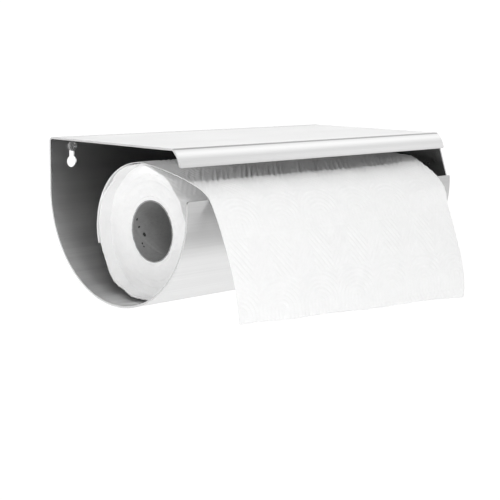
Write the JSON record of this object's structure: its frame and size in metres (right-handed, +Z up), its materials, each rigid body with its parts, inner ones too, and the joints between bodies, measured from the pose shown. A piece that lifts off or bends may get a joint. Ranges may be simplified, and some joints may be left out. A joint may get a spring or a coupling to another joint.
{
  "type": "paper towel holder",
  "caption": "Wall holder for a kitchen roll, bent from one steel sheet: flat shelf with a curved lip, round trough, one closed end, and a roll whose paper hangs over the front.",
  "frame": {"origin": "on the wall plane, midway between the two fixing screws", "axes": "+X along the wall to the closed end, +Y into the wall, +Z up"},
  "size_m": [0.26, 0.1862, 0.1162],
  "materials": {
    "steel_sheet": "satin",
    "steel_panel": "satin",
    "screw": "polished",
    "core_board": "matte",
    "wound_paper": "matte",
    "outer_paper": "matte",
    "sheet_paper": "matte"
  },
  "bodies": {
    "holder": {"shell": "steel_sheet", "end_panel": "steel_panel", "wall_screw_left": "screw", "wall_screw_right": "screw"},
    "web": {"paper_web": "sheet_paper"},
    "roll": {"roll_core": "core_board", "paper_roll": "wound_paper", "outer_wraps": "outer_paper"},
    "sheet": {"tear_sheet": "sheet_paper"}
  },
  "joints": [
    {"name": "roll_slide_out", "type": "slide", "parent": "holder", "child": "web", "axis": [-1, 0, 0], "range_m": [0, 0.26]},
    {"name": "roll_turn", "type": "hinge", "parent": "web", "child": "roll", "pos_m": [0, -0.0735, -0.05152], "axis": [1, 0, 0], "range_deg": [0, 102.3]},
    {"name": "sheet_feed", "type": "slide", "parent": "web", "child": "sheet", "axis": [0, -0.28, -0.96], "range_m": [0, 0.08]}
  ],
  "couplings": [
    {"joint": "sheet_feed", "follows": "roll_turn", "m_per_rad": 0.0448}
  ]
}
